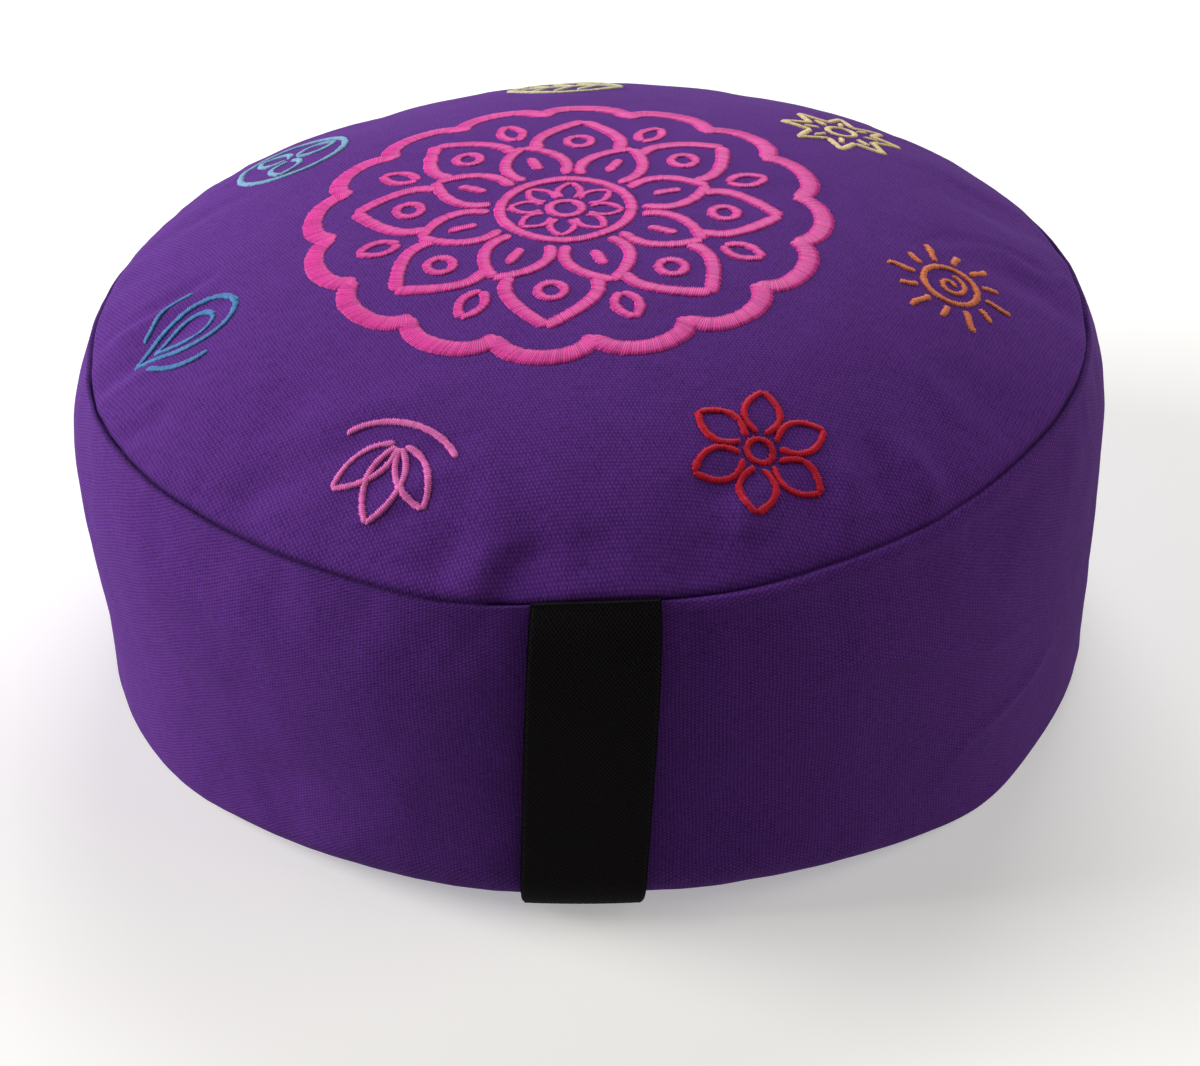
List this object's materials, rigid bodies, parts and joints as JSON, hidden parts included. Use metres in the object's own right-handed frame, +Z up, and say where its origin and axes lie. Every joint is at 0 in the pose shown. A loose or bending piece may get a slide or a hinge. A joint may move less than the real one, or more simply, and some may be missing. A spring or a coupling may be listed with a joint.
{
  "type": "zafu meditation cushion",
  "caption": "Round firm meditation cushion with a crowned top panel, a straight side band and a webbing carry handle sewn flat down the side.",
  "frame": {"origin": "middle of the flat base, on the floor", "axes": "+Z up out of the crowned top; -Y towards the front, where the webbing handle lies on the side band; +X to the right seen from the front"},
  "size_m": [0.3699, 0.3673, 0.1687],
  "materials": {
    "canvas": "matt purple cotton canvas, plain weave",
    "webbing": "matt black cotton webbing",
    "thread_magenta": "glossy embroidery thread, satin stitch",
    "thread_red": "glossy embroidery thread, satin stitch",
    "thread_orange": "glossy embroidery thread, satin stitch",
    "thread_yellow": "glossy embroidery thread, satin stitch",
    "thread_cream": "glossy embroidery thread, satin stitch",
    "thread_sky": "glossy embroidery thread, satin stitch",
    "thread_blue": "glossy embroidery thread, satin stitch",
    "thread_pink": "glossy embroidery thread, satin stitch"
  },
  "bodies": {
    "root": {"cushion": "canvas", "handle_strap": "webbing"}
  },
  "joints": []
}
